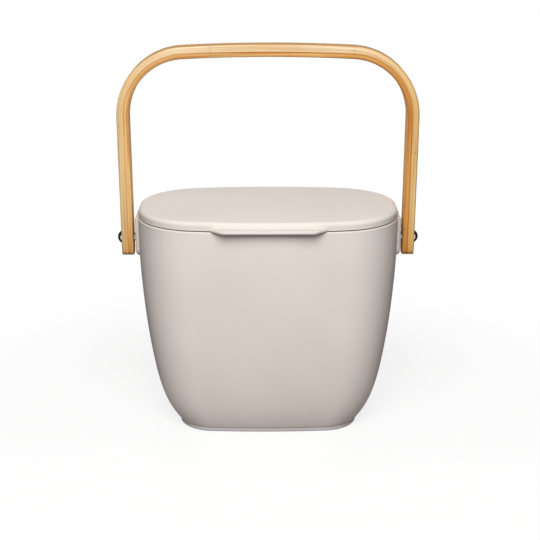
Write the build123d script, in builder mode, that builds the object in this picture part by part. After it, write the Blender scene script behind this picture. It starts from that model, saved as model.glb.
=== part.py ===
from build123d import *
from math import asin, atan2, cos, radians, sin, sqrt, tan
import os

# A countertop waste bin: a moulded tub on a foot ring, a hinged lid with a finger lip,
# and a bent bamboo handle of two plies that swings on two barrel screws.
# Millimetres. +Z is up, the front with the finger lip faces -Y, and the origin is on the
# surface that the bin stands on, in the middle of the tub.

# Tub
rim_width = 222.4
rim_depth = 133.4
rim_corner = 55.0
rim_front_bow = 4.2
foot_width = 158.4
foot_depth = 99.6
foot_corner = 30.6
foot_front_bow = 1.8
side_bow = 0.2
tub_height = 185.0
tub_wall = 2.6
floor_thickness = 3.0
rim_band = 4.0
taper_power = 2.0
foot_turn_power = 11.3
foot_turn_share = 0.31
corner_power = 0.7
rim_outer_round = 1.1
rim_inner_round = 0.5
inside_corner_round = 5.0

# Foot ring
foot_height = 4.5
foot_step = 0.7
foot_ring_width = 4.0
foot_recess = 3.0
foot_round = 1.6

# Pads on the sides of the tub that carry the handle, and the bosses inside them
pad_proud_of_rim = 2.3
pad_length = 34.5
pad_width = 31.0
pad_corner = 6.0
pad_round = 2.8
boss_diameter = 15.0
boss_height = 2.6

# Handle pivots: a barrel with a domed head, closed from inside by a screw and a washer
pivot_below_rim = 21.0
barrel_diameter = 5.0
barrel_fit = 0.08
barrel_head_diameter = 11.0
barrel_head_height = 3.7
barrel_thread_depth = 12.0
screw_diameter = 4.0
screw_fit = 0.05
screw_length = 10.5
screw_head_diameter = 9.0
screw_head_height = 2.5
screw_slot_width = 1.2
screw_slot_depth = 1.0
washer_diameter = 12.0
washer_thickness = 1.0
washer_fit = 0.1
spacer_diameter = 7.0
spacer_length = 2.4
side_play = 0.2

# Bamboo handle
strip_width = 18.0
outer_ply = 5.6
inner_ply = 4.4
handle_above_pivot = 163.7
leg_below_pivot = 14.9
bend_radius = 58.0
crown_radius = 1400.0
ply_edge_round = 1.7
leg_end_round = 5.0

# Lid
lid_inset = 0.7
lid_height = 8.0
lid_roof = 2.4
lid_edge_round = 3.4
lid_under_round = 0.5
shadow_gap_height = 0.6
shadow_gap_depth = 0.7
skirt_depth = 7.0
skirt_wall = 2.0
skirt_clearance = 0.6
skirt_lead_in = 0.6

# Finger lip
lip_width = 94.0
lip_taper = 9.0
lip_reach = 7.7
lip_thickness = 2.8
lip_corner = 9.0
lip_edge_round = 0.9

# Hinge at the back of the lid
knuckle_radius = 3.4
knuckle_length = 36.0
ear_length = 8.0
hinge_end_play = 0.4
hinge_behind_rim = 3.4
hinge_below_rim = 2.0
web_slope = 45.0
scoop_gap = 0.6
arm_gap = 0.3
arm_slope = 30.0
pin_diameter = 3.0
pin_fit = 0.08
pin_press = 0.02
pin_chamfer = 0.3

# Places worked out from the sizes above
rim_side = rim_width / 2
rim_front = rim_depth / 2
foot_side = foot_width / 2
foot_front = foot_depth / 2
floor_top = foot_recess + floor_thickness
band_bottom = tub_height - rim_band
pad_face = rim_side + pad_proud_of_rim
pivot_height = tub_height - pivot_below_rim
leg_inner = pad_face + spacer_length + side_play
leg_outer = leg_inner + inner_ply + outer_ply
leg_end = pivot_height - leg_below_pivot
head_seat = leg_outer + side_play
handle_top = pivot_height + handle_above_pivot
crown_centre = handle_top - crown_radius
bend_x = leg_outer - bend_radius
bend_z = crown_centre + sqrt((crown_radius - bend_radius) ** 2 - bend_x**2)
lid_front = rim_front - lid_inset
lid_under = tub_height + shadow_gap_height
skirt_inset = tub_wall + skirt_clearance
lip_root = rim_front - skirt_inset - skirt_wall / 2
lip_front = lid_front + lip_reach
hinge_y = rim_front + hinge_behind_rim
hinge_z = tub_height - hinge_below_rim
ear_start = knuckle_length / 2 + hinge_end_play
pin_length = 2 * (ear_start + ear_length)

# The tub's wall is lofted through these levels, as shares of its height. They stand
# closest together by the foot, where the wall turns in fastest, and close again by the rim.
wall_levels = [0, 0.05, 0.12, 0.24, 0.4, 0.58, 0.76, 0.9, 1]


def up_the_wall(height):
    """Share of the way up from the foot of the tub's wall to its rim, at a height."""
    return (height - foot_height) / (tub_height - foot_height)


def wall_shrink(height):
    """Share of the way in from the rim's size to the foot's size, at a height."""
    down = 1 - up_the_wall(height)
    return (1 - foot_turn_share) * down**taper_power + foot_turn_share * down**foot_turn_power


def wall_side(height):
    """Half width of the tub's outside at a height."""
    return rim_side - (rim_side - foot_side) * wall_shrink(height)


def wall_front(height):
    """Half depth of the tub's outside at a height."""
    return rim_front - (rim_front - foot_front) * wall_shrink(height)


def outline_face(half_width, half_depth, corner, front_bow):
    """Rectangle with round corners and bowed sides, all of its arcs tangent to each other.

    A bow is how far the middle of a side stands out past the round corners.
    """
    centre_x = half_width - side_bow - corner
    centre_y = half_depth - front_bow - corner
    front_reach = corner + front_bow
    side_reach = corner + side_bow
    front_radius = (centre_x**2 + front_reach**2 - corner**2) / (2 * front_bow)
    side_radius = (centre_y**2 + side_reach**2 - corner**2) / (2 * side_bow)
    front_stretch = front_radius / (front_radius - corner)
    side_stretch = side_radius / (side_radius - corner)
    front_x = centre_x * front_stretch
    front_y = half_depth - front_radius + (centre_y - half_depth + front_radius) * front_stretch
    side_x = half_width - side_radius + (centre_x - half_width + side_radius) * side_stretch
    side_y = centre_y * side_stretch
    turn = atan2((front_y + side_y) / 2 - centre_y, (front_x + side_x) / 2 - centre_x)
    corner_x = centre_x + corner * cos(turn)
    corner_y = centre_y + corner * sin(turn)
    with BuildSketch() as shape:
        with BuildLine():
            for x in (-1, 1):
                ThreePointArc((x * side_x, -side_y), (x * half_width, 0), (x * side_x, side_y))
            for y in (-1, 1):
                ThreePointArc((-front_x, y * front_y), (0, y * half_depth), (front_x, y * front_y))
                for x in (-1, 1):
                    start = (x * front_x, y * front_y)
                    end = (x * side_x, y * side_y)
                    ThreePointArc(start, (x * corner_x, y * corner_y), end)
        make_face()
    return shape.sketch


def wall_face(height, inset=0):
    """The tub's outline at a height, drawn in by an inset all round."""
    up = up_the_wall(height)
    corner = foot_corner + (rim_corner - foot_corner) * up**corner_power
    front_bow = foot_front_bow + (rim_front_bow - foot_front_bow) * up
    return outline_face(wall_side(height) - inset, wall_front(height) - inset, corner - inset, front_bow)


def rim_face(inset):
    """The outline of the rim, drawn in by an inset all round."""
    return wall_face(band_bottom, inset)


def side_plane(side, distance):
    """Plane square to X at a distance from the middle, facing out: its local y runs up."""
    return Plane(origin=(side * distance, 0, 0), x_dir=(0, side, 0), z_dir=(side, 0, 0))


def pivot_plane(side):
    """Plane through a pivot's axis: its local x runs out along the axis, its local y up."""
    return Plane(origin=(0, 0, pivot_height), x_dir=(side, 0, 0), z_dir=(0, -side, 0))


def on_ring(radius, angle):
    """Point of a circle round the hinge's axis, as Y and Z, at an angle up from +Y."""
    turn = radians(angle)
    return (hinge_y + radius * cos(turn), hinge_z + radius * sin(turn))


pivot_axis = Axis((0, 0, pivot_height), (1, 0, 0))
boss_face = wall_side(pivot_height) - tub_wall - boss_height

# Tub
with BuildPart() as tub:
    # Outside of the wall, up to a straight band under the rim.
    for level in wall_levels:
        height = foot_height + level * (band_bottom - foot_height)
        with BuildSketch(Plane.XY.offset(height)):
            add(wall_face(height))
    loft()
    with BuildSketch(Plane.XY.offset(band_bottom)):
        add(wall_face(band_bottom))
    extrude(amount=rim_band)
    fillet(tub.edges().group_by(Axis.Z)[-1], rim_outer_round)

    # Foot ring, a step inside the wall above it, with a recess under the floor.
    with BuildSketch():
        add(wall_face(foot_height, foot_step))
    extrude(amount=foot_height)
    fillet(tub.edges().group_by(Axis.Z)[0], foot_round)
    with BuildSketch():
        add(wall_face(foot_height, foot_step + foot_ring_width))
    extrude(amount=foot_recess, mode=Mode.SUBTRACT)

    # Pads for the handle, square at the rim and with round corners below it.
    for side in (-1, 1):
        with BuildSketch(side_plane(side, pad_face)):
            with Locations((0, tub_height - pad_length / 2)):
                RectangleRounded(pad_width, pad_length, pad_corner)
            with Locations((0, tub_height - pad_corner / 2)):
                Rectangle(pad_width, pad_corner)
        extrude(amount=wall_side(leg_end) - tub_wall - pad_face)
        pad_front = tub.faces().filter_by(Axis.X).sort_by(Axis.X)[0 if side < 0 else -1]
        fillet(pad_front.edges(), pad_round)

    # Inside of the wall, from the floor to the rim.
    for level in wall_levels:
        height = floor_top + level * (band_bottom - floor_top)
        with BuildSketch(Plane.XY.offset(height)):
            add(wall_face(height, tub_wall))
    loft(mode=Mode.SUBTRACT)
    with BuildSketch(Plane.XY.offset(band_bottom)):
        add(wall_face(band_bottom, tub_wall))
    extrude(amount=rim_band, mode=Mode.SUBTRACT)
    floor_edges = tub.edges().filter_by_position(Axis.Z, floor_top - 0.1, floor_top + 0.1)
    fillet(floor_edges, inside_corner_round)
    fillet(tub.faces().sort_by(Axis.Z)[-1].inner_wires()[0].edges(), rim_inner_round)

    # Bosses behind the pads, and the holes for the barrels.
    for side in (-1, 1):
        with BuildSketch(side_plane(side, boss_face)):
            with Locations((0, pivot_height)):
                Circle(boss_diameter / 2)
        extrude(amount=boss_height + tub_wall / 2)
        with BuildSketch(side_plane(side, boss_face)):
            with Locations((0, pivot_height)):
                Circle(barrel_diameter / 2 + barrel_fit)
        extrude(amount=pad_face - boss_face, mode=Mode.SUBTRACT)

    # Hinge ears behind the rim, each on a web that slopes down to the wall.
    ear_root = rim_front - tub_wall / 2
    web_top = on_ring(knuckle_radius, -web_slope)
    web_foot = (ear_root, web_top[1] - (web_top[0] - ear_root) / tan(radians(web_slope)))
    ear_inside = on_ring(knuckle_radius, 180)
    for start in (ear_start, -ear_start - ear_length):
        with BuildSketch(Plane.YZ.offset(start)):
            with BuildLine():
                Line((ear_root, hinge_z), ear_inside)
                ThreePointArc(ear_inside, on_ring(knuckle_radius, 90), web_top)
                Line(web_top, web_foot)
                Line(web_foot, (ear_root, hinge_z))
            make_face()
            with Locations((hinge_y, hinge_z)):
                Circle(pin_diameter / 2 + pin_press, mode=Mode.SUBTRACT)
        extrude(amount=ear_length)

    # Scoop in the back of the wall, where the lid's knuckle turns.
    with BuildSketch(Plane.YZ.offset(-ear_start)):
        with Locations((hinge_y, hinge_z)):
            Circle(knuckle_radius + scoop_gap)
    extrude(amount=2 * ear_start, mode=Mode.SUBTRACT)

# Finger lip: straight across the front with tapered ends, and all rounded before the lid
# takes it in
with BuildPart() as lip:
    lip_side = lip_width / 2
    lip_start = rim_front_bow * (lip_side / rim_side) ** 2 - lid_front
    with BuildSketch(Plane.XY.offset(lid_under)) as lip_outline:
        with BuildLine():
            left = [(-lip_side, -lip_root), (-lip_side, lip_start), (lip_taper - lip_side, -lip_front)]
            right = [(-x, y) for x, y in reversed(left)]
            Polyline(*left, *right, close=True)
        make_face()
        fillet(lip_outline.vertices().group_by(Axis.Y)[0], lip_corner)
    extrude(amount=lip_thickness)
    root_edges = lip.edges().group_by(Axis.Y)[-1]
    fillet(lip.edges().filter_by(Axis.Z, reverse=True) - root_edges, lip_edge_round)

# Lid
with BuildPart() as lid:
    # Cap with the lip on its front, and the seat that holds it a little above the rim.
    with BuildSketch(Plane.XY.offset(lid_under)):
        add(rim_face(lid_inset))
    extrude(amount=lid_height - shadow_gap_height)
    fillet(lid.edges().group_by(Axis.Z)[-1], lid_edge_round)
    fillet(lid.edges().group_by(Axis.Z)[0], lid_under_round)
    add(lip)
    with BuildSketch(Plane.XY.offset(tub_height)):
        add(rim_face(lid_inset + shadow_gap_depth))
    extrude(amount=shadow_gap_height)

    # Skirt that drops inside the rim, and the hollow within it.
    with BuildSketch(Plane.XY.offset(tub_height - skirt_depth)):
        add(rim_face(skirt_inset))
    extrude(amount=skirt_depth)
    chamfer(lid.edges().group_by(Axis.Z)[0], skirt_lead_in)
    with BuildSketch(Plane.XY.offset(tub_height - skirt_depth)):
        add(rim_face(skirt_inset + skirt_wall))
    extrude(amount=skirt_depth + lid_height - lid_roof, mode=Mode.SUBTRACT)

    # Knuckle, on an arm that passes over the rim and slopes up to the lid's edge.
    arm_root = lid_front - lid_roof
    arm_under = tub_height + arm_gap
    arm_meets = hinge_y - sqrt(knuckle_radius**2 - (arm_under - hinge_z) ** 2)
    arm_top = on_ring(knuckle_radius, 90 - arm_slope)
    arm_rise = (arm_top[0] - arm_root) * tan(radians(arm_slope))
    with BuildSketch(Plane.YZ.offset(-knuckle_length / 2)):
        with BuildLine():
            Line((arm_root, arm_under), (arm_meets, arm_under))
            ThreePointArc((arm_meets, arm_under), on_ring(knuckle_radius, 270), arm_top)
            Line(arm_top, (arm_root, arm_top[1] + arm_rise))
            Line((arm_root, arm_top[1] + arm_rise), (arm_root, arm_under))
        make_face()
        with Locations((hinge_y, hinge_z)):
            Circle(pin_diameter / 2 + pin_fit, mode=Mode.SUBTRACT)
    extrude(amount=knuckle_length)

# Hinge pin, flush with the outer ends of the ears
with BuildPart() as hinge_pin:
    with BuildSketch(Plane.YZ.offset(-pin_length / 2)):
        with Locations((hinge_y, hinge_z)):
            Circle(pin_diameter / 2)
    extrude(amount=pin_length)
    chamfer(hinge_pin.edges().filter_by(GeomType.CIRCLE), pin_chamfer)


def arch_face(depth):
    """Face inside the handle's outline, at a depth in from the strip's outer face."""
    leg = leg_outer - depth
    reach = (crown_radius - depth) / (crown_radius - bend_radius)
    touch_x = bend_x * reach
    touch_z = crown_centre + (bend_z - crown_centre) * reach
    with BuildSketch() as shape:
        with BuildLine():
            ThreePointArc((-touch_x, touch_z), (0, handle_top - depth), (touch_x, touch_z))
            for side in (-1, 1):
                TangentArc((side * leg, bend_z), (side * touch_x, touch_z), tangent=(0, 1))
                Line((side * leg, bend_z), (side * leg, leg_end))
            Line((-leg, leg_end), (leg, leg_end))
        make_face()
    return shape.sketch


def strip_edges(edges):
    """Edges along one face of a ply and round its leg ends, without the seams across it."""
    across = edges.filter_by(Axis.Y)
    leg_ends = across.filter_by_position(Axis.Z, leg_end - 0.1, leg_end + 0.1)
    return edges - edges.filter_by(Axis.X) - across + leg_ends


def barrel_bore_face():
    """Round face of the bore that a barrel passes through, at the pivot's height."""
    with BuildSketch() as shape:
        with Locations((0, pivot_height)):
            Circle(barrel_diameter / 2 + barrel_fit)
    return shape.sketch


# Handle, outer ply
with BuildPart() as handle_outer_ply:
    with BuildSketch(Plane.XZ):
        add(arch_face(0))
    extrude(amount=strip_width / 2, both=True)
    fillet(handle_outer_ply.edges().filter_by(Axis.X).group_by(Axis.Z)[0], leg_end_round)
    fillet(strip_edges(handle_outer_ply.edges()), ply_edge_round)
    with BuildSketch(Plane.XZ):
        add(arch_face(outer_ply))
    extrude(amount=strip_width / 2, both=True, mode=Mode.SUBTRACT)
    with BuildSketch(Plane.YZ):
        add(barrel_bore_face())
    extrude(amount=leg_outer, both=True, mode=Mode.SUBTRACT)

# Handle, inner ply
with BuildPart() as handle_inner_ply:
    with BuildSketch(Plane.XZ):
        add(arch_face(outer_ply))
    extrude(amount=strip_width / 2, both=True)
    fillet(handle_inner_ply.edges().filter_by(Axis.X).group_by(Axis.Z)[0], leg_end_round)
    with BuildSketch(Plane.XZ):
        add(arch_face(outer_ply + inner_ply))
    extrude(amount=strip_width / 2, both=True, mode=Mode.SUBTRACT)
    fillet(strip_edges(handle_inner_ply.edges(Select.LAST)), ply_edge_round)
    with BuildSketch(Plane.YZ):
        add(barrel_bore_face())
    extrude(amount=leg_outer, both=True, mode=Mode.SUBTRACT)


def dome_middle(seat, radius, height):
    """Point halfway along the arc of a domed head, from its rim on the seat to its top."""
    dome = (radius**2 + height**2) / (2 * height)
    half_turn = asin(radius / dome) / 2
    return (seat + height - dome + dome * cos(half_turn), dome * sin(half_turn))


def pivot_barrel(side):
    """Barrel with a domed head outside the leg, bored from inside the tub for its screw."""
    shank = barrel_diameter / 2
    head = barrel_head_diameter / 2
    bore = screw_diameter / 2
    bore_end = boss_face + barrel_thread_depth
    head_top = head_seat + barrel_head_height
    head_middle = dome_middle(head_seat, head, barrel_head_height)
    with BuildPart() as barrel:
        with BuildSketch(pivot_plane(side)):
            with BuildLine():
                Polyline((bore_end, 0), (bore_end, bore), (boss_face, bore), (boss_face, shank))
                Polyline((boss_face, shank), (head_seat, shank), (head_seat, head))
                ThreePointArc((head_seat, head), head_middle, (head_top, 0))
                Line((head_top, 0), (bore_end, 0))
            make_face()
        revolve(axis=pivot_axis)
    return barrel


def pivot_screw(side):
    """Slotted screw inside the tub, through the washer and up the barrel's bore."""
    shank = screw_diameter / 2 - screw_fit
    head = screw_head_diameter / 2
    seat = boss_face - washer_thickness
    tip = seat + screw_length
    head_top = seat - screw_head_height
    head_middle = dome_middle(seat, head, -screw_head_height)
    with BuildPart() as screw:
        with BuildSketch(pivot_plane(side)):
            with BuildLine():
                Polyline((tip, 0), (tip, shank), (seat, shank), (seat, head))
                ThreePointArc((seat, head), head_middle, (head_top, 0))
                Line((head_top, 0), (tip, 0))
            make_face()
        revolve(axis=pivot_axis)
        with BuildSketch(side_plane(side, head_top)):
            with Locations((0, pivot_height)):
                Rectangle(screw_head_diameter, screw_slot_width)
        extrude(amount=screw_slot_depth, mode=Mode.SUBTRACT)
    return screw


def pivot_ring(side, start, length, diameter, bore):
    """Ring round a pivot's axis that starts at a distance out from the middle."""
    with BuildPart() as ring:
        with BuildSketch(side_plane(side, start)):
            with Locations((0, pivot_height)):
                Circle(diameter / 2)
                Circle(bore / 2, mode=Mode.SUBTRACT)
        extrude(amount=length)
    return ring


def spacer(side):
    """Sleeve that keeps a leg off its pad."""
    return pivot_ring(side, pad_face, spacer_length, spacer_diameter, barrel_diameter + 2 * barrel_fit)


def inner_washer(side):
    """Washer between a boss inside the tub and the head of its screw."""
    start = boss_face - washer_thickness
    return pivot_ring(side, start, washer_thickness, washer_diameter, screw_diameter + 2 * washer_fit)


pieces = {
    "tub": tub,
    "lid": lid,
    "hinge_pin": hinge_pin,
    "handle_outer_ply": handle_outer_ply,
    "handle_inner_ply": handle_inner_ply,
}
for name, side in {"left": -1, "right": 1}.items():
    pieces[f"{name}_pivot_barrel"] = pivot_barrel(side)
    pieces[f"{name}_pivot_screw"] = pivot_screw(side)
    pieces[f"{name}_spacer"] = spacer(side)
    pieces[f"{name}_inner_washer"] = inner_washer(side)

os.makedirs("parts", exist_ok=True)
for name, piece in pieces.items():
    piece.part.label = name
    export_step(piece.part, f"parts/{name}.step")
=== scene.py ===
"""Studio scene of a countertop waste bin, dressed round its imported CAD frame.

The bin is a moulded plastic tub with a rear-hinged lid and a bent two-ply bamboo handle on steel pivots.
All sizes are in metres, in the frame's own axes: +Z up, -Y towards the front and +X to the right.
"""

import logging
import math
from collections.abc import Callable, Sequence
from dataclasses import dataclass, field
from enum import Enum

import bmesh
import bpy
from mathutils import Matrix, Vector


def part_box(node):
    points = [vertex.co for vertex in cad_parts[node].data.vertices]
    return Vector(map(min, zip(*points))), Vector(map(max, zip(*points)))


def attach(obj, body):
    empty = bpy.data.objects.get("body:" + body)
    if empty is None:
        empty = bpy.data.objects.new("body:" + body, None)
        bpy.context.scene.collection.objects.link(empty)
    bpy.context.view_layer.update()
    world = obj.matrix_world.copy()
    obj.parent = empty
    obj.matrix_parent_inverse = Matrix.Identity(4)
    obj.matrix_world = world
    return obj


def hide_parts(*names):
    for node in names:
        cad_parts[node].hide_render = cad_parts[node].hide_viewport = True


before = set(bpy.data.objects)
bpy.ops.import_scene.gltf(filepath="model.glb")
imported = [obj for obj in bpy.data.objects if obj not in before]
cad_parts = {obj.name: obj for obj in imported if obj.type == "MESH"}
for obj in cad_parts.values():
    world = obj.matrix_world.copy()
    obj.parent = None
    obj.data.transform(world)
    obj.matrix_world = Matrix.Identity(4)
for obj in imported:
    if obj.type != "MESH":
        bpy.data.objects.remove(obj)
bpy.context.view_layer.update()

MM = 0.001
GRAIN = "grain"  # the plies' own attribute: metres along the strip, across it and from the glue line
LOG = logging.getLogger("waste_bin")


class Side(Enum):
    """The two sides of the bin, as the sign of X."""

    LEFT = -1
    RIGHT = 1

    @property
    def word(self) -> str:
        """The side's name as the nodes spell it."""
        return self.name.lower()


class Ply(Enum):
    """The two plies of the handle strip, by the name of their node."""

    OUTER = "handle_outer_ply"
    INNER = "handle_inner_ply"


class Blend(Enum):
    """How a tint lies on the bamboo, by the name of its blend type."""

    TINT = "MULTIPLY"
    COVER = "MIX"


def linear(hex_colour: str) -> tuple[float, float, float, float]:
    """Turns an sRGB hex colour into linear light, by the sRGB standard's own curve.

    Args:
        hex_colour: the colour as #RRGGBB.

    Returns:
        Red, green, blue and an alpha of 1.
    """
    channels = []
    for start in (1, 3, 5):
        value = int(hex_colour[start : start + 2], 16) / 255
        channels.append(value / 12.92 if value <= 0.04045 else ((value + 0.055) / 1.055) ** 2.4)
    return (*channels, 1.0)


def add_node(
    tree: bpy.types.NodeTree,
    kind: str,
    settings: dict[str, object] | None = None,
    sockets: dict[str | int, object] | None = None,
) -> bpy.types.Node:
    """Adds one shader node with its settings and links.

    Args:
        tree: the material's or world's node tree.
        kind: the node's type name, without its ShaderNode prefix.
        settings: the node's own properties.
        sockets: each input's value, or the output socket that feeds it.

    Returns:
        The new node.
    """
    node = tree.nodes.new("ShaderNode" + kind)
    for key, value in (settings or {}).items():
        setattr(node, key, value)
    for key, value in (sockets or {}).items():
        if isinstance(value, bpy.types.NodeSocket):
            tree.links.new(value, node.inputs[key])
        else:
            node.inputs[key].default_value = value
    return node


def set_stops(ramp: bpy.types.Node, stops: Sequence[tuple[float, str]]) -> bpy.types.NodeSocket:
    """Sets a colour ramp's stops.

    Args:
        ramp: the ramp's node.
        stops: places from 0 to 1, each with its sRGB hex colour.

    Returns:
        The ramp's colour output.
    """
    elements = ramp.color_ramp.elements
    while len(elements) < len(stops):
        elements.new(0.5)
    for element, (place, colour) in zip(elements, stops):
        element.position = place
        element.color = linear(colour)
    return ramp.outputs["Color"]


def empty_tree(owner: bpy.types.Material | bpy.types.World) -> bpy.types.NodeTree:
    """Turns on the nodes of a material or world and empties its tree.

    Args:
        owner: the material or world.

    Returns:
        Its node tree, with nothing in it.
    """
    owner.use_nodes = True
    owner.node_tree.nodes.clear()
    return owner.node_tree


def new_material(name: str) -> tuple[bpy.types.Material, bpy.types.NodeTree, bpy.types.Node]:
    """Makes a material with a Principled shader on its output.

    Args:
        name: the finish's name.

    Returns:
        The material, its node tree and the shader node.
    """
    material = bpy.data.materials.new(name)
    tree = empty_tree(material)
    shader = add_node(tree, "BsdfPrincipled")
    add_node(tree, "OutputMaterial", sockets={"Surface": shader.outputs["BSDF"]})
    return material, tree, shader


@dataclass(frozen=True)
class MouldedPolypropylene:
    """Injection-moulded polypropylene with a spark-eroded mould texture: soft, matt and even.

    The eye sees a broad dull sheen, a very fine grain and a faint drift of tone from the melt's flow. One
    level band is darker and is painted shade: round the tub's foot, where the floor shades it, and in the
    seam under the lid, where the lid's edge shadows it.
    """

    name: str
    band_height: float
    band_inside: float
    band_outside: float
    painted_shade_tint: str
    band_front_of: float = 66 * MM
    colour: str = "#DCD6CF"
    drift: str = "#D7D0C9"
    drift_size: float = 70 * MM
    drift_from: float = 0.3
    drift_to: float = 0.7
    grain_size: float = 0.9 * MM  # the real grit is near 0.15 mm, and is drawn coarser so that it shows
    grain_height: float = 0.02 * MM
    roughness: float = 0.56
    roughness_spread: float = 0.05
    ior: float = 1.49
    specular: float = 0.2

    def build(self) -> bpy.types.Material:
        """Makes the material.

        Returns:
            The finished material.
        """
        material, tree, shader = new_material(self.name)
        place = add_node(tree, "TexCoord").outputs["Object"]
        flow = add_node(
            tree,
            "TexNoise",
            sockets={"Vector": place, "Scale": 1 / self.drift_size, "Detail": 3.0, "Roughness": 0.4},
        )
        ramp = add_node(tree, "ValToRGB", sockets={"Fac": flow.outputs["Fac"]})
        colour = set_stops(ramp, [(self.drift_from, self.colour), (self.drift_to, self.drift)])
        # Multiplies in the band of painted shade.
        painted_shade_colour = add_node(
            tree,
            "Mix",
            {"data_type": "RGBA", "blend_type": "MULTIPLY"},
            {"Factor": self._painted_shade_band(tree, place), 6: colour, 7: linear(self.painted_shade_tint)},
        )
        grit = add_node(
            tree,
            "TexNoise",
            sockets={"Vector": place, "Scale": 1 / self.grain_size, "Detail": 2.0, "Roughness": 0.5},
        ).outputs["Fac"]
        rough = add_node(
            tree,
            "MapRange",
            sockets={
                "Value": grit,
                "To Min": self.roughness - self.roughness_spread,
                "To Max": self.roughness + self.roughness_spread,
            },
        )
        bump = add_node(
            tree, "Bump", sockets={"Height": grit, "Distance": self.grain_height, "Strength": 1.0}
        )
        tree.links.new(painted_shade_colour.outputs[2], shader.inputs["Base Color"])
        tree.links.new(rough.outputs["Result"], shader.inputs["Roughness"])
        tree.links.new(bump.outputs["Normal"], shader.inputs["Normal"])
        shader.inputs["IOR"].default_value = self.ior
        shader.inputs["Specular IOR Level"].default_value = self.specular
        return material

    def _painted_shade_band(self, tree: bpy.types.NodeTree, place: bpy.types.NodeSocket) -> bpy.types.NodeSocket:
        """Adds the band of painted shade round the shell, which stops short of the hinge.

        Args:
            tree: the material's node tree.
            place: the object's own coordinates.

        Returns:
            The band's strength, from 0 to 1.
        """
        parts = add_node(tree, "SeparateXYZ", sockets={"Vector": place})
        above = add_node(
            tree, "Math", {"operation": "SUBTRACT"}, {0: parts.outputs["Z"], 1: self.band_height}
        )
        away = add_node(tree, "Math", {"operation": "ABSOLUTE"}, {0: above.outputs[0]})
        near = add_node(
            tree,
            "MapRange",
            {"interpolation_type": "SMOOTHSTEP"},
            {
                "Value": away.outputs[0],
                "From Min": self.band_inside,
                "From Max": self.band_outside,
                "To Min": 1.0,
                "To Max": 0.0,
            },
        )
        front = add_node(
            tree, "Math", {"operation": "LESS_THAN"}, {0: parts.outputs["Y"], 1: self.band_front_of}
        )
        both = add_node(
            tree, "Math", {"operation": "MULTIPLY"}, {0: near.outputs["Result"], 1: front.outputs[0]}
        )
        return both.outputs[0]


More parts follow.
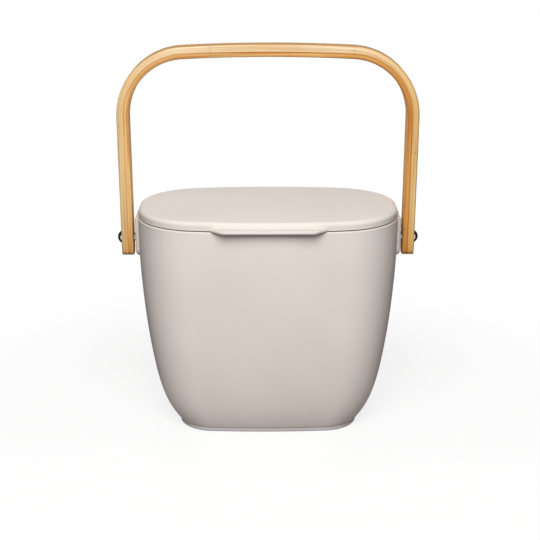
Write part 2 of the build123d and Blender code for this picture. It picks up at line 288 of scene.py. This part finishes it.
@dataclass(frozen=True)
class BentBamboo:
    """Heat-bent bamboo strip, sanded and oiled.

    Straight fibres run along the strip, a little browner on the outer ply's free broad face, by the glue and
    towards the ends, with a few short dark marks where the cane had its nodes. The inner ply's free broad
    face, which faces the tub and lies in shade, is covered in a lighter, warmer colour: painted light. The
    pattern reads the ply's own grain attribute, so it follows the bend.
    """

    name: str
    pale: str
    mid: str
    dark: str
    mark: str
    thickness: float
    seed: float
    free_face_colour: str = "#CBB083"
    free_face_blend: Blend = Blend.TINT
    free_face_share: float = 1.0
    free_face_depth: float = 0.45 * MM
    glue_tint: str = "#E6CDA8"
    glue_depth: float = 0.5 * MM
    leg_tint: str = "#EFE3C9"
    leg_from: float = 45 * MM
    leg_to: float = 135 * MM
    end_tint: str = "#F0E2C6"
    end_from: float = 235 * MM
    end_to: float = 285 * MM
    drift_tint: str = "#FFF8E7"
    drift_from: float = 50 * MM
    drift_to: float = 150 * MM
    pale_below: float = 0.41
    mid_at: float = 0.5
    dark_above: float = 0.61
    fibre_width: float = 0.9 * MM  # the real fibres are near 0.3 mm, and are drawn coarser so that they show
    fibre_length: float = 46 * MM
    fibre_height: float = 0.06 * MM
    fibre_share: float = 0.5
    band_width: float = 3.4 * MM
    band_length: float = 170 * MM
    node_spacing: float = 118 * MM
    node_width: float = 1.3 * MM
    node_wander: float = 6.5 * MM
    mark_strength: float = 0.8
    mark_from: float = 0.52
    mark_to: float = 0.62
    roughness: float = 0.57
    roughness_spread: float = 0.07
    ior: float = 1.5
    specular: float = 0.12

    def build(self) -> bpy.types.Material:
        """Makes the material.

        Returns:
            The finished material.
        """
        material, tree, shader = new_material(self.name)
        grain = add_node(tree, "Attribute", {"attribute_name": GRAIN}).outputs["Vector"]
        parts = add_node(tree, "SeparateXYZ", sockets={"Vector": grain})
        fibres = self._streaks(tree, grain, self.fibre_length, self.fibre_width, detail=3.0)
        bands = self._streaks(tree, grain, self.band_length, self.band_width, detail=1.0)
        both = add_node(
            tree, "Mix", {"data_type": "FLOAT"}, {"Factor": self.fibre_share, "A": bands, "B": fibres}
        )
        ramp = add_node(tree, "ValToRGB", sockets={"Fac": both.outputs["Result"]})
        colour = set_stops(
            ramp, [(self.pale_below, self.pale), (self.mid_at, self.mid), (self.dark_above, self.dark)]
        )
        along, through = parts.outputs["X"], parts.outputs["Z"]
        either_way = add_node(tree, "Math", {"operation": "ABSOLUTE"}, {0: along}).outputs[0]
        for place, start, end, tint in (
            (either_way, self.leg_from, self.leg_to, self.leg_tint),
            (either_way, self.end_from, self.end_to, self.end_tint),
            (along, self.drift_from, self.drift_to, self.drift_tint),
        ):
            colour = self._tinted(tree, colour, place, start, end, tint)
        # The free face: browner on the outer ply, and on the inner ply painted light, a lighter and warmer
        # cover on a face that lies in shade.
        face_layer_from = self.thickness - self.free_face_depth
        colour = self._tinted(
            tree, colour, through, face_layer_from, self.thickness, self.free_face_colour, self.free_face_blend, self.free_face_share
        )
        colour = self._tinted(tree, colour, through, self.glue_depth, 0.0, self.glue_tint)
        marked = add_node(
            tree,
            "Mix",
            {"data_type": "RGBA"},
            {"Factor": self._marks(tree, along, fibres), 6: colour, 7: linear(self.mark)},
        )
        rough = add_node(
            tree,
            "MapRange",
            sockets={
                "Value": fibres,
                "To Min": self.roughness - self.roughness_spread,
                "To Max": self.roughness + self.roughness_spread,
            },
        )
        bump = add_node(
            tree, "Bump", sockets={"Height": fibres, "Distance": self.fibre_height, "Strength": 0.7}
        )
        tree.links.new(marked.outputs[2], shader.inputs["Base Color"])
        tree.links.new(rough.outputs["Result"], shader.inputs["Roughness"])
        tree.links.new(bump.outputs["Normal"], shader.inputs["Normal"])
        shader.inputs["IOR"].default_value = self.ior
        shader.inputs["Specular IOR Level"].default_value = self.specular
        return material

    def _streaks(
        self,
        tree: bpy.types.NodeTree,
        grain: bpy.types.NodeSocket,
        length: float,
        width: float,
        detail: float,
    ) -> bpy.types.NodeSocket:
        """Adds noise drawn out along the strip.

        Args:
            tree: the material's node tree.
            grain: the place along, across and through the strip.
            length: the size of one streak along the strip.
            width: its size across and through it.
            detail: how many finer octaves it has.

        Returns:
            The noise, from 0 to 1.
        """
        scaled = add_node(
            tree,
            "Mapping",
            sockets={
                "Vector": grain,
                "Scale": (1 / length, 1 / width, 1 / width),
                "Location": (self.seed, self.seed, self.seed),
            },
        )
        noise = add_node(
            tree,
            "TexNoise",
            sockets={"Vector": scaled.outputs["Vector"], "Scale": 1.0, "Detail": detail, "Roughness": 0.55},
        )
        return noise.outputs["Fac"]

    def _tinted(
        self,
        tree: bpy.types.NodeTree,
        colour: bpy.types.NodeSocket,
        place: bpy.types.NodeSocket,
        start: float,
        end: float,
        tint: str,
        blend: Blend = Blend.TINT,
        whole: float = 1.0,
    ) -> bpy.types.NodeSocket:
        """Tints the colour, or covers it, from nothing at one place to the whole at another.

        Args:
            tree: the material's node tree.
            colour: the colour so far.
            place: the distance that the tint follows.
            start: where the tint begins.
            end: where it is whole.
            tint: its sRGB hex colour.
            blend: whether it tints the colour or covers it.
            whole: its share where it is whole.

        Returns:
            The tinted colour.
        """
        rising = end > start
        share = add_node(
            tree,
            "MapRange",
            {"interpolation_type": "SMOOTHSTEP"},
            {
                "Value": place,
                "From Min": min(start, end),
                "From Max": max(start, end),
                "To Min": 0.0 if rising else whole,
                "To Max": whole if rising else 0.0,
            },
        )
        mixed = add_node(
            tree,
            "Mix",
            {"data_type": "RGBA", "blend_type": blend.value},
            {"Factor": share.outputs["Result"], 6: colour, 7: linear(tint)},
        )
        return mixed.outputs[2]

    def _marks(
        self, tree: bpy.types.NodeTree, along: bpy.types.NodeSocket, fibres: bpy.types.NodeSocket
    ) -> bpy.types.NodeSocket:
        """Adds the short dark marks across the strip at each node of the cane.

        Args:
            tree: the material's node tree.
            along: the place along the strip.
            fibres: the fibre noise, which bends the marks and breaks them up.

        Returns:
            The strength of the marks, from 0 to 1.
        """
        wavy = add_node(
            tree, "Math", {"operation": "MULTIPLY_ADD"}, {0: fibres, 1: self.node_wander, 2: along}
        )
        shifted = add_node(
            tree, "Math", {"operation": "ADD"}, {0: wavy.outputs[0], 1: self.seed * self.node_spacing}
        )
        away = add_node(
            tree, "Math", {"operation": "PINGPONG"}, {0: shifted.outputs[0], 1: self.node_spacing / 2}
        )
        near = add_node(
            tree,
            "MapRange",
            {"interpolation_type": "SMOOTHSTEP"},
            {
                "Value": away.outputs[0],
                "From Max": self.node_width,
                "To Min": self.mark_strength,
                "To Max": 0.0,
            },
        )
        broken = add_node(
            tree,
            "MapRange",
            {"interpolation_type": "SMOOTHSTEP"},
            {"Value": fibres, "From Min": self.mark_from, "From Max": self.mark_to},
        )
        both = add_node(
            tree, "Math", {"operation": "MULTIPLY"}, {0: near.outputs["Result"], 1: broken.outputs["Result"]}
        )
        return both.outputs[0]


@dataclass(frozen=True)
class TurnedSteel:
    """Turned steel, polished or left with a dull zinc plate.

    Polished it mirrors the studio with hair-fine turning marks, and plated it gives a soft grey gleam.
    """

    name: str
    colour: str
    roughness: float
    roughness_swing: float = 0.3
    mark_width: float = 0.25 * MM  # the real marks are near 0.1 mm, and are drawn coarser so that they show
    mark_length: float = MM / 0.9
    mark_height: float = 0.004 * MM

    def build(self) -> bpy.types.Material:
        """Makes the material.

        Returns:
            The finished material.
        """
        material, tree, shader = new_material(self.name)
        place = add_node(tree, "TexCoord").outputs["Object"]
        across, along = 1 / self.mark_width, 1 / self.mark_length
        drawn_out = add_node(tree, "Mapping", sockets={"Vector": place, "Scale": (across, along, along)})
        marks = add_node(
            tree, "TexNoise", sockets={"Vector": drawn_out.outputs["Vector"], "Scale": 1.0, "Detail": 2.0}
        ).outputs["Fac"]
        rough = add_node(
            tree,
            "MapRange",
            sockets={
                "Value": marks,
                "To Min": self.roughness * (1 - self.roughness_swing),
                "To Max": self.roughness * (1 + self.roughness_swing),
            },
        )
        bump = add_node(
            tree, "Bump", sockets={"Height": marks, "Distance": self.mark_height, "Strength": 0.5}
        )
        tree.links.new(rough.outputs["Result"], shader.inputs["Roughness"])
        tree.links.new(bump.outputs["Normal"], shader.inputs["Normal"])
        shader.inputs["Base Color"].default_value = linear(self.colour)
        shader.inputs["Metallic"].default_value = 1.0
        return material


# Painted shade: a cooler, darker band round the tub's foot, standing in for the floor's shade near it.
TUB_PLASTIC = MouldedPolypropylene(
    "foot_painted_shade_polypropylene",
    band_height=0.0,
    band_inside=3 * MM,
    band_outside=7 * MM,
    painted_shade_tint="#E6E8EC",
)
# Painted shadow: a dark band on the lid's seat wall, standing in for the shadow in the gap under the lid's
# edge.
LID_PLASTIC = MouldedPolypropylene(
    "seam_painted_shadow_polypropylene",
    band_height=185.4 * MM,
    band_inside=0.4 * MM,
    band_outside=0.75 * MM,
    painted_shade_tint="#7E7468",
)
OUTER_BAMBOO = BentBamboo(
    "pale_bamboo_ply",
    pale="#EED9B8",
    mid="#E2CBA6",
    dark="#CFAF84",
    mark="#8F663C",
    thickness=5.6 * MM,
    seed=0.37,
)
INNER_BAMBOO = BentBamboo(
    "toasted_bamboo_ply",
    pale="#E4BF85",
    mid="#D7AF73",
    dark="#BE884E",
    mark="#8A5A2C",
    thickness=4.4 * MM,
    seed=0.81,
    # Painted light: the inner ply's free face faces the tub and lies in shade, so it is covered in a
    # lighter, warmer colour.
    free_face_colour="#EFBD7C",
    free_face_blend=Blend.COVER,
    free_face_share=0.75,
    glue_tint="#E0C39A",
    glue_depth=1.4 * MM,
    leg_tint="#FFFFFF",
    drift_tint="#EED7B5",
    drift_from=-200 * MM,
)
POLISHED_STEEL = TurnedSteel("polished_turned_steel", "#E2E2E4", roughness=0.12)
PLATED_STEEL = TurnedSteel("zinc_plated_steel", "#B9BABD", roughness=0.24)


def select_none() -> None:
    """Leaves edit mode and deselects every object."""
    if bpy.context.object and bpy.context.object.mode != "OBJECT":
        bpy.ops.object.mode_set(mode="OBJECT")
    bpy.ops.object.select_all(action="DESELECT")


def make_active(piece: bpy.types.Object) -> None:
    """Selects one object alone and makes it the active one.

    Args:
        piece: the object.
    """
    select_none()
    piece.select_set(True)
    bpy.context.view_layer.objects.active = piece


def apply_place(piece: bpy.types.Object) -> None:
    """Moves an object's place, turn and scale into its mesh."""
    make_active(piece)
    bpy.ops.object.transform_apply(location=True, rotation=True, scale=True)


def apply_modifier(piece: bpy.types.Object, kind: str, **settings: object) -> None:
    """Adds a modifier and applies it.

    Args:
        piece: the mesh object.
        kind: the modifier's type.
        settings: the modifier's properties.
    """
    make_active(piece)
    modifier = piece.modifiers.new(kind.title(), kind)
    for key, value in settings.items():
        setattr(modifier, key, value)
    bpy.ops.object.modifier_apply(modifier=modifier.name)


def select_vertices(piece: bpy.types.Object, test: Callable[[Vector], bool]) -> None:
    """In edit mode, selects the vertices whose place passes a test, and nothing else.

    Args:
        piece: the mesh object in edit mode.
        test: takes a vertex's place in the mesh.
    """
    bpy.ops.mesh.select_mode(type="VERT")
    bpy.ops.mesh.select_all(action="DESELECT")
    mesh = bmesh.from_edit_mesh(piece.data)
    for vertex in mesh.verts:
        vertex.select_set(test(vertex.co))
    mesh.select_flush_mode()
    bmesh.update_edit_mesh(piece.data)


def dress(piece: bpy.types.Object, material: bpy.types.Material) -> None:
    """Gives an object one material in place of all it has."""
    piece.data.materials.clear()
    piece.data.materials.append(material)


def dress_node(node: str, material: bpy.types.Material) -> None:
    """Gives a CAD node's object a material, and leaves its mesh as it is.

    Args:
        node: the node's name.
        material: its finish.
    """
    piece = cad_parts[node]
    if not piece.material_slots:
        piece.data.materials.append(material)
    for slot in piece.material_slots:
        slot.link = "OBJECT"
        slot.material = material
    LOG.info("dressed %s in %s", node, material.name)


@dataclass
class BambooHandle:
    """The bent strip of two glued plies, which turns on a steel pivot at each leg."""

    strip_width: float = 18 * MM
    bend_radius: float = 58 * MM
    crown_radius: float = 1400 * MM
    edge_round: float = 1.7 * MM
    end_round: float = 5 * MM
    bore: float = 5.16 * MM
    drill_overshoot: float = 10 * MM
    leg_sample: float = 40 * MM
    smooth_angle: float = math.radians(35)
    same_place: float = 0.01 * MM
    same_point: float = 0.005 * MM
    edge_steps: int = 6
    end_steps: int = 6
    leg_steps: int = 12
    bend_steps: int = 40
    crown_steps: int = 12
    bore_sides: int = 48
    outer_x: float = field(init=False)
    leg_end: float = field(init=False)
    top: float = field(init=False)

    def __post_init__(self) -> None:
        """Reads the strip's outer face, its legs' ends and its top from the frame."""
        low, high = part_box(Ply.OUTER.value)
        self.outer_x = high.x
        self.leg_end = low.z
        self.top = high.z

    def build(self) -> None:
        """Makes both plies, drills them and dresses them."""
        for ply, finish, slot in (
            (Ply.OUTER, OUTER_BAMBOO, "bamboo_face"),
            (Ply.INNER, INNER_BAMBOO, "bamboo_core"),
        ):
            piece = self._bend(ply)
            self._drill(piece)
            self._write_grain(piece)
            make_active(piece)
            bpy.ops.object.shade_smooth_by_angle(angle=self.smooth_angle)
            dress(piece, finish.build())
            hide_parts(ply.value)
            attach(piece, "handle")
            LOG.info("%s: %d faces", piece.name, len(piece.data.polygons))

    def _depths(self, ply: Ply) -> tuple[float, float]:
        """Finds how far a ply's two faces lie inside the strip's outer face.

        Args:
            ply: which ply.

        Returns:
            The depths of the ply's outer and inner faces.
        """
        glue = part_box(Ply.OUTER.value)[1].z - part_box(Ply.INNER.value)[1].z
        return (0.0, glue) if ply is Ply.OUTER else (glue, glue + self._inner_thickness())

    def _inner_thickness(self) -> float:
        """Measures the inner ply's thickness on the CAD node's legs.

        Returns:
            The thickness.
        """
        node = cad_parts[Ply.INNER.value]
        legs = [abs(v.co.x) for v in node.data.vertices if v.co.z < self.leg_end + self.leg_sample]
        return max(legs) - min(legs)

    @property
    def bend_centre(self) -> Vector:
        """The middle of the right bend, where its arc runs on smoothly into the crown's.

        Returns:
            The place in the frame.
        """
        middle = self.outer_x - self.bend_radius
        drop = math.sqrt((self.crown_radius - self.bend_radius) ** 2 - middle**2)
        return Vector((middle, 0, self.top - self.crown_radius + drop))

    @property
    def crown_half_angle(self) -> float:
        """Half the angle that the crown spans."""
        return math.asin(self.bend_centre.x / (self.crown_radius - self.bend_radius))

    def _bend(self, ply: Ply) -> bpy.types.Object:
        """Runs the ply's section up one leg, round the arch and down the other.

        Args:
            ply: which ply to make.

        Returns:
            The closed ply.
        """
        out, inn = self._depths(ply)
        centre_x = self.outer_x - (out + inn) / 2
        select_none()
        bpy.ops.mesh.primitive_plane_add(size=1, location=(centre_x, 0, self.leg_end))
        piece = bpy.context.object
        piece.name = "bent_" + ply.value
        bpy.ops.object.mode_set(mode="EDIT")
        bpy.ops.transform.resize(value=(inn - out, self.strip_width, 1))
        free_x = self.outer_x - (out if ply is Ply.OUTER else inn)
        select_vertices(piece, lambda place: abs(place.x + centre_x - free_x) < self.same_place)
        bpy.ops.mesh.bevel(
            offset=self.edge_round,
            offset_type="OFFSET",
            segments=self.edge_steps,
            profile=0.5,
            affect="VERTICES",
        )
        bpy.ops.mesh.select_all(action="SELECT")
        self._draw_leg(upwards=True)
        right = self.bend_centre
        left = Vector((-right.x, 0, right.z))
        crown = Vector((0, 0, self.top - self.crown_radius))
        half = self.crown_half_angle
        quarter = math.pi / 2 - half
        for steps, angle, middle in (
            (self.bend_steps, quarter, right),
            (self.crown_steps, 2 * half, crown),
            (self.bend_steps, quarter, left),
        ):
            bpy.ops.mesh.spin(steps=steps, angle=angle, center=middle, axis=(0, 1, 0))
        self._draw_leg(upwards=False)
        bpy.ops.mesh.select_all(action="SELECT")
        bpy.ops.mesh.remove_doubles(threshold=self.same_point)
        bpy.ops.mesh.normals_make_consistent(inside=False)
        bpy.ops.object.mode_set(mode="OBJECT")
        apply_place(piece)
        return piece

    def _draw_leg(self, upwards: bool) -> None:
        """Draws the selected section along one leg, whose end is rounded.

        Args:
            upwards: whether it draws up from the leg's end, or else down to it.
        """
        half = self.strip_width / 2
        turns = [math.pi / 2 * k / self.end_steps for k in range(self.end_steps + 1)]
        rises = [self.end_round * (1 - math.cos(turn)) for turn in turns]
        widths = [half - self.end_round * (1 - math.sin(turn)) for turn in turns]
        straight = (self.bend_centre.z - self.leg_end - self.end_round) / self.leg_steps
        if upwards:
            bpy.ops.transform.resize(value=(1, widths[0] / half, 1))
            for k in range(self.end_steps):
                self._pull(rises[k + 1] - rises[k])
                bpy.ops.transform.resize(value=(1, widths[k + 1] / widths[k], 1))
        for _ in range(self.leg_steps):
            self._pull(straight if upwards else -straight)
        if not upwards:
            for k in reversed(range(self.end_steps)):
                self._pull(rises[k] - rises[k + 1])
                bpy.ops.transform.resize(value=(1, widths[k] / widths[k + 1], 1))

    @staticmethod
    def _pull(rise: float) -> None:
        """Extrudes the selected section straight up, or down where the rise is negative."""
        bpy.ops.mesh.extrude_region_move(TRANSFORM_OT_translate={"value": (0, 0, rise)})

    def _drill(self, piece: bpy.types.Object) -> None:
        """Drills both legs of a ply for the pivot barrels.

        Args:
            piece: the ply.
        """
        barrel_low, barrel_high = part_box("right_pivot_barrel")
        height = (barrel_low.z + barrel_high.z) / 2
        select_none()
        bpy.ops.mesh.primitive_cylinder_add(
            vertices=self.bore_sides,
            radius=self.bore / 2,
            depth=2 * (self.outer_x + self.drill_overshoot),
            location=(0, 0, height),
            rotation=(0, math.pi / 2, 0),
        )
        drill = bpy.context.object
        apply_modifier(piece, "BOOLEAN", operation="DIFFERENCE", object=drill, solver="EXACT")
        bpy.data.objects.remove(drill)

    def _unbent(self, x: float, z: float) -> tuple[float, float]:
        """Finds where a point of the right half would lie if the strip were straight.

        Args:
            x: the point's place to the right.
            z: its height.

        Returns:
            Its distance along the strip from the middle of the crown, and its depth inside the outer face.
        """
        bend = self.bend_centre
        half = self.crown_half_angle
        crown_length = self.crown_radius * half
        if z <= bend.z:
            bend_length = self.bend_radius * (math.pi / 2 - half)
            return crown_length + bend_length + bend.z - z, self.outer_x - x
        crown_z = self.top - self.crown_radius
        lean = math.atan2(x, z - crown_z)
        if lean < half:
            return self.crown_radius * lean, self.crown_radius - math.hypot(x, z - crown_z)
        turn = math.atan2(x - bend.x, z - bend.z)
        along = crown_length + self.bend_radius * (turn - half)
        return along, self.bend_radius - math.hypot(x - bend.x, z - bend.z)

    def _write_grain(self, piece: bpy.types.Object) -> None:
        """Stores each point's distance along the strip, across it and from the glue line.

        Args:
            piece: the ply.
        """
        glue = self._depths(Ply.OUTER)[1]
        values = []
        for vertex in piece.data.vertices:
            x, y, z = vertex.co
            along, depth = self._unbent(abs(x), z)
            values.extend((math.copysign(along, x), y, abs(depth - glue)))
        grain = piece.data.attributes.new(GRAIN, "FLOAT_VECTOR", "POINT")
        grain.data.foreach_set("vector", values)


@dataclass
class PivotFittings:
    """The steel: a barrel, screw, spacer and washer on each side, and the pin of the lid's hinge."""

    polished: Sequence[str] = ("pivot_barrel",)
    plated: Sequence[str] = ("pivot_screw", "spacer", "inner_washer")

    def build(self) -> None:
        """Dresses each fitting's CAD node."""
        bright, dull = POLISHED_STEEL.build(), PLATED_STEEL.build()
        for side in Side:
            for names, material in ((self.polished, bright), (self.plated, dull)):
                for name in names:
                    dress_node(f"{side.word}_{name}", material)
        dress_node("hinge_pin", dull)


@dataclass
class MouldedShells:
    """The tub and its lid, both moulded in the same plastic."""

    nodes: Sequence[tuple[str, MouldedPolypropylene]] = (("tub", TUB_PLASTIC), ("lid", LID_PLASTIC))

    def build(self) -> None:
        """Dresses both shells."""
        for name, finish in self.nodes:
            dress_node(name, finish.build())


@dataclass(frozen=True)
class Softbox:
    """A square lamp: its name, where it stands, its side in metres and its power in watts."""

    name: str
    place: tuple[float, float, float]
    size: float
    power: float


@dataclass
class Studio:
    """A white sweep, softboxes in front and behind, black cards, and the camera of a shop picture."""

    lens: float = 79.54
    sensor_width: float = 36.0
    nearest_seen: float = 0.05
    camera_place: tuple[float, float, float] = (-0.008, -1.0, 0.4445)
    pitch: float = 0.355
    heading: float = 0.008
    shift: tuple[float, float] = (0.0037, 0.1181)
    white: str = "#FFFFFF"
    black_cloth: str = "#2A2A2A"
    floor_size: float = 12.0
    floor_paint: str = "#F4F4F4"
    floor_bounce: str = "#827B7E"
    glow_near_bin: float = 0.8
    glow_from: float = 0.14
    glow_to: float = 0.42
    fill: float = 0.45
    fill_tint: str = "#FFF6F4"
    flag_size: float = 1.6
    flag_lift: float = 5 * MM
    flag_places: Sequence[tuple[Side, float, float]] = ((Side.LEFT, 0.45, 0.42), (Side.RIGHT, 0.42, 0.44))
    edge_card_inner: tuple[float, float] = (0.1095, 0.02)
    edge_card_outer: tuple[float, float] = (0.25, -0.05)
    edge_card_height: float = 0.31
    edge_card_middle: float = 0.165
    aim_height: float = 0.14
    softboxes: Sequence[Softbox] = (
        Softbox("key_softbox", (-0.05, -0.89, 1.01), size=0.8, power=17.2),
        Softbox("back_softbox", (0.0, 1.3, 0.27), size=0.7, power=8.0),
    )

    def build(self) -> None:
        """Makes the floor, the world, the lamps, the black cards and the camera."""
        self._floor()
        self._world()
        for softbox in self.softboxes:
            self._lamp(softbox)
        for side, beside, behind in self.flag_places:
            self._flag(side, beside, behind)
        for side in Side:
            self._edge_card(side)
        self._camera()
        bpy.context.scene.view_settings.view_transform = "Standard"

    @staticmethod
    def _background_rays(tree: bpy.types.NodeTree) -> bpy.types.NodeSocket:
        """Adds a test for rays that look at the background, straight, mirrored or through glass.

        Args:
            tree: the floor's or world's node tree.

        Returns:
            1 for such rays, and 0 for the rest.
        """
        path = add_node(tree, "LightPath").outputs
        seen = add_node(
            tree, "Math", {"operation": "MAXIMUM"}, {0: path["Is Camera Ray"], 1: path["Is Glossy Ray"]}
        )
        both = add_node(
            tree, "Math", {"operation": "MAXIMUM"}, {0: seen.outputs[0], 1: path["Is Transmission Ray"]}
        )
        return both.outputs[0]

    def _floor(self) -> None:
        """Makes the white floor, which keeps the bin's shadow near it and is plain white further out."""
        select_none()
        bpy.ops.mesh.primitive_plane_add(size=self.floor_size, location=(0, 0, 0))
        floor = bpy.context.object
        floor.name = "white_floor"
        material = bpy.data.materials.new("matt_white_sweep")
        tree = empty_tree(material)
        place = add_node(tree, "TexCoord").outputs["Object"]
        away = add_node(tree, "VectorMath", {"operation": "LENGTH"}, {0: place})
        glow_share = add_node(
            tree,
            "MapRange",
            {"interpolation_type": "SMOOTHSTEP"},
            {
                "Value": away.outputs["Value"],
                "From Min": self.glow_from,
                "From Max": self.glow_to,
                "To Min": self.glow_near_bin,
                "To Max": 1.0,
            },
        )
        rays = self._background_rays(tree)
        seen_glow = add_node(
            tree, "Math", {"operation": "MULTIPLY"}, {0: glow_share.outputs["Result"], 1: rays}
        )
        colour = add_node(
            tree,
            "Mix",
            {"data_type": "RGBA"},
            {"Factor": rays, 6: linear(self.floor_bounce), 7: linear(self.floor_paint)},
        )
        paint = add_node(tree, "BsdfDiffuse", sockets={"Color": colour.outputs[2]})
        glow = add_node(tree, "Emission", sockets={"Color": linear(self.white), "Strength": 1.0})
        mixed = add_node(
            tree,
            "MixShader",
            sockets={0: seen_glow.outputs[0], 1: paint.outputs["BSDF"], 2: glow.outputs["Emission"]},
        )
        add_node(tree, "OutputMaterial", sockets={"Surface": mixed.outputs["Shader"]})
        dress(floor, material)

    def _world(self) -> None:
        """Makes a white background over an even, faintly warm fill light."""
        world = bpy.data.worlds.new("studio")
        bpy.context.scene.world = world
        tree = empty_tree(world)
        fill = add_node(
            tree, "Background", sockets={"Color": linear(self.fill_tint), "Strength": self.fill}
        ).outputs["Background"]
        white = add_node(
            tree, "Background", sockets={"Color": linear(self.white), "Strength": 1.0}
        ).outputs["Background"]
        mixed = add_node(tree, "MixShader", sockets={0: self._background_rays(tree), 1: fill, 2: white})
        add_node(tree, "OutputWorld", sockets={"Surface": mixed.outputs["Shader"]})

    def _lamp(self, softbox: Softbox) -> None:
        """Adds one softbox, which faces the middle of the bin and doesn't show in shiny surfaces.

        Args:
            softbox: the lamp to add.
        """
        lamp_data = bpy.data.lights.new(softbox.name, "AREA")
        lamp_data.size = softbox.size
        lamp_data.energy = softbox.power
        lamp = bpy.data.objects.new(softbox.name, lamp_data)
        lamp.visible_camera = False
        lamp.visible_glossy = False
        bpy.context.scene.collection.objects.link(lamp)
        lamp.location = softbox.place
        aim = Vector((0, 0, self.aim_height)) - Vector(softbox.place)
        lamp.rotation_euler = aim.to_track_quat("-Z", "Y").to_euler()

    def _cover_in_cloth(self, card: bpy.types.Object, name: str) -> None:
        """Covers a card in matt black cloth.

        Args:
            card: the card.
            name: its material's name.
        """
        material = bpy.data.materials.new(name)
        tree = empty_tree(material)
        cloth = add_node(tree, "BsdfDiffuse", sockets={"Color": linear(self.black_cloth)})
        add_node(tree, "OutputMaterial", sockets={"Surface": cloth.outputs["BSDF"]})
        dress(card, material)

    def _flag(self, side: Side, beside: float, behind: float) -> None:
        """Stands a black card at one side of the bin, out of the picture, to darken the bin's edges.

        Args:
            side: the side it stands on.
            beside: how far it stands from the middle of the bin.
            behind: how far its middle lies behind the bin's.
        """
        select_none()
        bpy.ops.mesh.primitive_plane_add(
            size=self.flag_size,
            location=(side.value * beside, behind, self.flag_size / 2 + self.flag_lift),
            rotation=(0, math.pi / 2, 0),
        )
        card = bpy.context.object
        card.name = f"{side.word}_flag"
        self._cover_in_cloth(card, f"matt_black_card_{side.word}")
        card.visible_camera = False
        card.visible_glossy = False

    def _edge_card(self, side: Side) -> None:
        """Stands a black card beside one pivot, seen only in reflections, which gives the steel dark edges.

        Args:
            side: the side it stands on.
        """
        select_none()
        bpy.ops.mesh.primitive_plane_add(size=1, rotation=(math.pi / 2, 0, 0))
        card = bpy.context.object
        card.name = f"{side.word}_edge_card"
        inner, outer = Vector(self.edge_card_inner), Vector(self.edge_card_outer)
        across, middle = outer - inner, (inner + outer) / 2
        card.scale = (across.length, self.edge_card_height, 1)
        card.rotation_euler.z = side.value * math.atan2(across.y, across.x)
        card.location = (side.value * middle.x, middle.y, self.edge_card_middle)
        self._cover_in_cloth(card, f"matt_black_edge_card_{side.word}")
        card.visible_camera = False
        card.visible_diffuse = False
        card.visible_shadow = False
        card.visible_transmission = False

    def _camera(self) -> None:
        """Adds the camera, a little above the bin and turned down on to it."""
        camera_data = bpy.data.cameras.new("camera")
        camera_data.lens = self.lens
        camera_data.sensor_width = self.sensor_width
        camera_data.shift_x, camera_data.shift_y = self.shift
        camera_data.clip_start = self.nearest_seen
        camera = bpy.data.objects.new("camera", camera_data)
        bpy.context.scene.collection.objects.link(camera)
        camera.location = self.camera_place
        camera.rotation_euler = (math.pi / 2 - self.pitch, 0, -self.heading)
        bpy.context.scene.camera = camera


def main() -> None:
    """Builds the bin and its studio."""
    logging.basicConfig(level=logging.INFO, format="%(name)s: %(message)s")
    MouldedShells().build()
    BambooHandle().build()
    PivotFittings().build()
    Studio().build()


if __name__ == "__main__":
    main()
